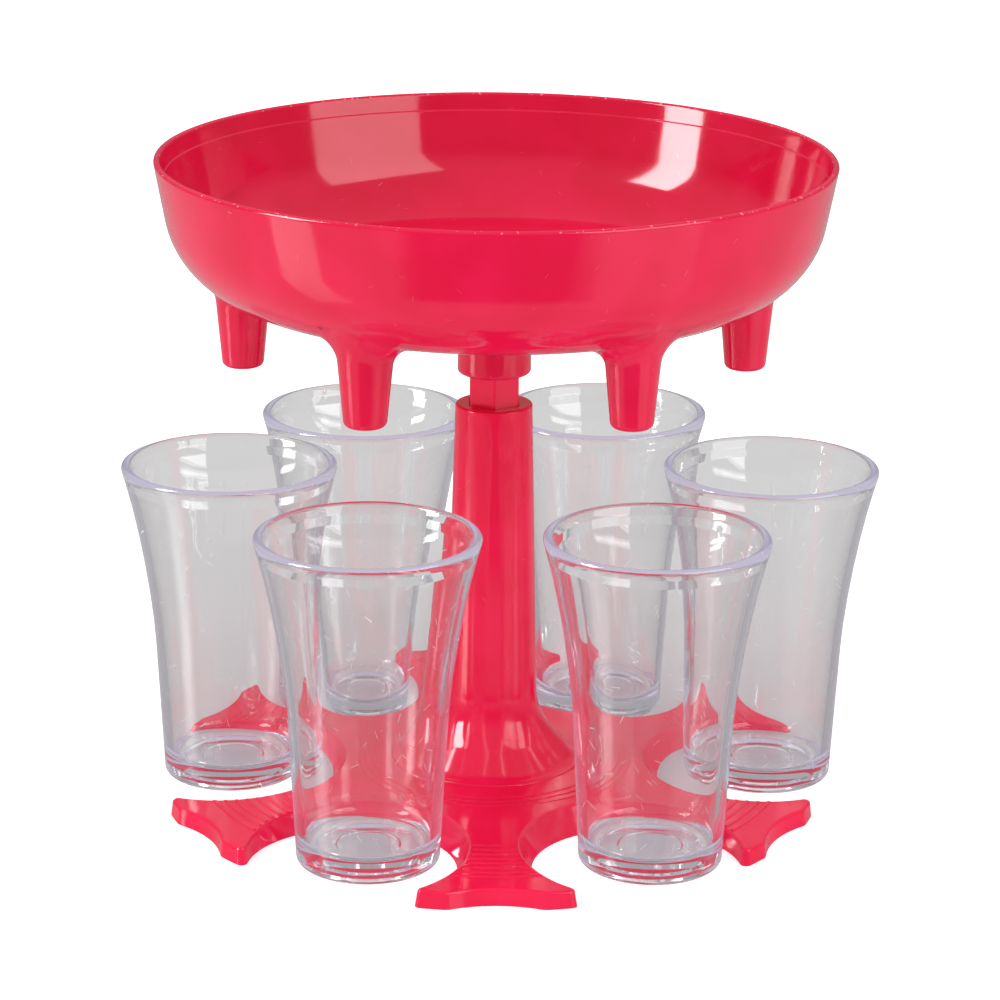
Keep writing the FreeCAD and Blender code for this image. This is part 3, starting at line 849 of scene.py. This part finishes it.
@dataclass
class Studio:
    """Pale table, white surroundings, two soft boxes and the camera."""
    paper: str = "#E6E6E6"
    # painted shade: the table's colour for rays through glass, greyer than the paper
    painted_grey_through_glass: str = "#C3C3C3"
    painted_dark_in_gloss: str = "#202020"     # painted shade: what gloss sees of the table before the object, standing in for a dark room there
    dark_from: float = 170 * MM     # distance from the axis at which that begins
    dark_by: float = 240 * MM       # and at which it is full
    dull: float = 0.45              # how far mirrored rays see the table in that painted shade all round
    sheet_ior: float = 1.5          # of the table's gloss, which mirrors the lamps for such rays
    sheet_roughness: float = 0.12
    table_reach: float = 6.0
    table_glow: float = 0.34        # of the lit table, for diffuse light
    near_fill: float = 0.46         # light added to the table for the camera, by the object
    far_fill: float = 0.75          # and far from it
    fill_from: float = 100 * MM     # distance from the axis at which the one passes over
    fill_by: float = 900 * MM       # and at which it is the other
    ambient: float = 0.50           # of the room near the horizon, for diffuse light
    overhead: float = 1.35          # and above
    ambient_below: float = 0.1      # height, as a sine, up to which it is the one
    overhead_above: float = 0.9     # and from which it is the other
    through_glass: float = 0.95     # of the room, seen through glass
    mirrored_glass: float = 0.42    # and mirrored on the way
    dark_front: float = 0.06        # of the room before the object, in gloss
    dim_sides: float = 0.16         # of the rest of the room near the horizon, in gloss
    bright_above: float = 0.42      # and above, all round
    dim_below: float = 0.12         # height, as a sine, up to which it is dim in gloss
    bright_from: float = 0.5        # and from which it is bright
    front_low: float = 0.78         # cosine of the azimuth at which the dark front ends
    front_high: float = 0.92        # and at which it is full
    camera_turn: float = -1.2       # degrees; which way round the object is seen from
    camera_distance: float = 828.3 * MM
    camera_height: float = 332.5 * MM
    camera_pitch: float = 17.33     # degrees, as the next two
    camera_yaw: float = 0.12
    camera_roll: float = 0.62
    lens: float = 125.9             # mm, on a 36 mm sensor
    aim: Vector = field(default_factory=lambda: Vector((0, 0, 120 * MM)))
    boxes: tuple[SoftBox, ...] = (
        SoftBox("right_soft_box", azimuth=50, height=26.5, half_width=21, half_height=18.5,
                light=1.12, sheen=3.2),
        SoftBox("left_soft_box", azimuth=-74, height=25, half_width=8, half_height=17,
                light=4.9, sheen=17.0),
    )

    def light(self) -> None:
        """Hangs the lamps and sets the world."""
        for box in self.boxes:
            box.hang(self.aim)
        world = bpy.data.worlds.new("white_room")
        tree = new_tree(world)
        rays = add_node(tree, "LightPath").outputs
        aim = add_node(tree, "TexCoord").outputs["Generated"]
        height = add_node(tree, "SeparateXYZ", {"Vector": aim}).outputs["Z"]

        level = add_node(tree, "MapRange", {
            "Value": self.towards_front(tree, aim), "To Min": self.dim_sides,
            "To Max": self.dark_front}, **SMOOTH)
        rise = add_node(tree, "MapRange", {
            "Value": height, "From Min": self.dim_below, "From Max": self.bright_from}, **SMOOTH)
        gloss = add_node(tree, "Mix", {"Factor": rise, "A": level, "B": self.bright_above})
        room = add_node(tree, "MapRange", {
            "Value": height, "From Min": self.ambient_below, "From Max": self.overhead_above,
            "To Min": self.ambient, "To Max": self.overhead}, **SMOOTH)
        mirrored = add_node(tree, "Math", {0: rays["Glossy Depth"], 1: MIRRORED},
                            operation="GREATER_THAN")
        glass = add_node(tree, "Mix", {
            "Factor": mirrored, "A": self.through_glass, "B": self.mirrored_glass})

        bounced = add_node(tree, "Mix", {"Factor": rays[Ray.GLOSSY.value], "A": room, "B": gloss})
        bent = add_node(tree, "Mix", {
            "Factor": rays[Ray.TRANSMISSION.value], "A": bounced, "B": glass})
        seen = add_node(tree, "Mix", {"Factor": rays[Ray.CAMERA.value], "A": bent, "B": 1.0})
        sky = add_node(tree, "Background", {"Color": srgb(WHITE), "Strength": seen})
        add_node(tree, "OutputWorld", {"Surface": sky})
        bpy.context.scene.world = world

    def towards_front(self, tree: bpy.types.NodeTree,
                      place: bpy.types.NodeSocket) -> bpy.types.Node:
        """How far a direction or a spot on the table lies in the dark part of the room.

        Args:
            tree: The node tree.
            place: The direction or spot, from the object's axis.

        Returns:
            Node that gives 1 straight in front and 0 at the sides and behind.
        """
        level = add_node(tree, "VectorMath", {0: place, 1: (1, 1, 0)}, operation="MULTIPLY")
        ahead = add_node(tree, "VectorMath", {0: level}, operation="NORMALIZE")
        front = add_node(tree, "VectorMath", {0: ahead, 1: (0, -1, 0)}, operation="DOT_PRODUCT")
        return add_node(tree, "MapRange", {
            "Value": front.outputs["Value"], "From Min": self.front_low,
            "From Max": self.front_high}, **SMOOTH)

    def paper_material(self) -> bpy.types.Material:
        """The table's paper, which shows itself in its own way to each kind of ray, with painted
        shade: grey through glass, dark before the object in gloss, and darker all round for
        mirrored rays.

        Returns:
            The material.
        """
        made = bpy.data.materials.new("pale_paper")
        tree = new_tree(made)
        rays = add_node(tree, "LightPath").outputs
        place = add_node(tree, "TexCoord").outputs["Object"]
        away = add_node(tree, "VectorMath", {0: place}, operation="LENGTH").outputs["Value"]
        mirrored = add_node(tree, "Math", {0: rays["Glossy Depth"], 1: MIRRORED},
                            operation="GREATER_THAN")

        # Painted shade on the table: dark before the object for glossy rays, darker all round for
        # mirrored rays, and grey for rays through glass.
        beyond = add_node(tree, "MapRange", {
            "Value": away, "From Min": self.dark_from, "From Max": self.dark_by}, **SMOOTH)
        dark = add_node(tree, "Math", {0: self.towards_front(tree, place), 1: beyond},
                        operation="MULTIPLY")
        glossy = add_node(tree, "Math", {
            0: rays[Ray.GLOSSY.value], 1: rays[Ray.TRANSMISSION.value]}, operation="SUBTRACT")
        direct = add_node(tree, "Math", {0: glossy, 1: 0.0}, operation="MAXIMUM")
        in_gloss = add_node(tree, "Math", {0: dark, 1: direct}, operation="MULTIPLY")
        in_mirror = add_node(tree, "Math", {0: mirrored, 1: self.dull}, operation="MULTIPLY")
        shade = add_node(tree, "Math", {0: in_gloss, 1: in_mirror}, operation="MAXIMUM")
        pale = add_node(tree, "MixRGB", {
            "Fac": rays[Ray.TRANSMISSION.value], "Color1": srgb(self.paper),
            "Color2": srgb(self.painted_grey_through_glass)})
        shown = add_node(tree, "MixRGB", {
            "Fac": shade, "Color1": pale, "Color2": srgb(self.painted_dark_in_gloss)})
        paper = add_node(tree, "BsdfDiffuse", {"Color": shown})

        level = add_node(tree, "MapRange", {
            "Value": away, "From Min": self.fill_from, "From Max": self.fill_by,
            "To Min": self.near_fill, "To Max": self.far_fill}, **SMOOTH)
        fill = add_node(tree, "Math", {0: rays[Ray.CAMERA.value], 1: level},
                        operation="MULTIPLY")
        added = add_node(tree, "Math", {
            0: rays[Ray.DIFFUSE.value], 1: self.table_glow, 2: fill}, operation="MULTIPLY_ADD")
        glow = add_node(tree, "Emission", {"Color": srgb(WHITE), "Strength": added})
        matt = add_node(tree, "AddShader", {0: paper, 1: glow})

        coat = add_node(tree, "BsdfAnisotropic", {
            "Color": srgb(WHITE), "Roughness": self.sheet_roughness})
        fresnel = add_node(tree, "Fresnel", {"IOR": self.sheet_ior})
        share = add_node(tree, "Math", {0: mirrored, 1: fresnel}, operation="MULTIPLY")
        sheet = add_node(tree, "MixShader", {0: share, 1: matt, 2: coat})
        add_node(tree, "OutputMaterial", {"Surface": sheet})
        return made

    def lay_table(self) -> bpy.types.Object:
        """Lays the pale table under the object.

        Returns:
            The table.
        """
        mesh = bmesh.new()
        bmesh.ops.create_grid(mesh, x_segments=1, y_segments=1, size=self.table_reach)
        table = finished(mesh, "table", self.paper_material())
        return table

    def set_camera(self) -> bpy.types.Object:
        """Puts the camera at the object's viewing angle.

        Returns:
            The camera.
        """
        turn = math.radians(self.camera_turn)
        yaw = math.radians(self.camera_yaw) - turn
        pitch = math.radians(self.camera_pitch)
        roll = math.radians(self.camera_roll)
        ahead = Vector((math.sin(yaw) * math.cos(pitch), math.cos(yaw) * math.cos(pitch),
                        -math.sin(pitch)))
        level = Vector((math.cos(yaw), -math.sin(yaw), 0))
        upright = level.cross(ahead)
        right = math.cos(roll) * level + math.sin(roll) * upright
        up = math.cos(roll) * upright - math.sin(roll) * level
        place = Vector((self.camera_distance * math.sin(turn),
                        -self.camera_distance * math.cos(turn), self.camera_height))
        facing = Matrix((right, up, -ahead)).transposed().to_4x4()
        lens = bpy.data.cameras.new("camera")
        lens.lens = self.lens
        camera = bpy.data.objects.new("camera", lens)
        camera.matrix_world = Matrix.Translation(place) @ facing
        bpy.context.scene.collection.objects.link(camera)
        bpy.context.scene.camera = camera
        return camera


def main() -> None:
    """Builds the studio and dresses every piece."""
    logging.basicConfig(level=logging.INFO, format="%(message)s")
    bpy.context.scene.view_settings.view_transform = "Standard"
    studio = Studio()
    studio.set_camera()
    studio.light()
    studio.lay_table()
    for piece in Mouldings(GlossyPolypropylene().material()).dress():
        LOG.info("%s: dressed", piece.name)
    # Painted shade: the bowl's copy of the plastic is darker than on the other pieces, to offset
    # the stronger light on its front.
    darker_painted_bowl_finish = GlossyPolypropylene(
        name="glossy_polypropylene_bowl_painted_darker", colour="#DB1845", deep_colour="#D5123D",
        worn_above=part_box("dispenser_bowl")[1].z - WORN_RIM)
    bowl = DispenserBowl(darker_painted_bowl_finish.material()).build()
    LOG.info("%s: %d faces", bowl.name, len(bowl.data.polygons))
    LOG.info("%s: dressed", dressed("base_screws", ZincPlatedSteel().material()).name)
    clear = ClearPolystyrene().material()
    for body in frame["bodies"]:
        if body.startswith("glass_"):
            piece = ShotGlass(body.removeprefix("glass_"), clear).build()
            LOG.info("%s: %d faces", piece.name, len(piece.data.polygons))


if __name__ == "__main__":
    main()
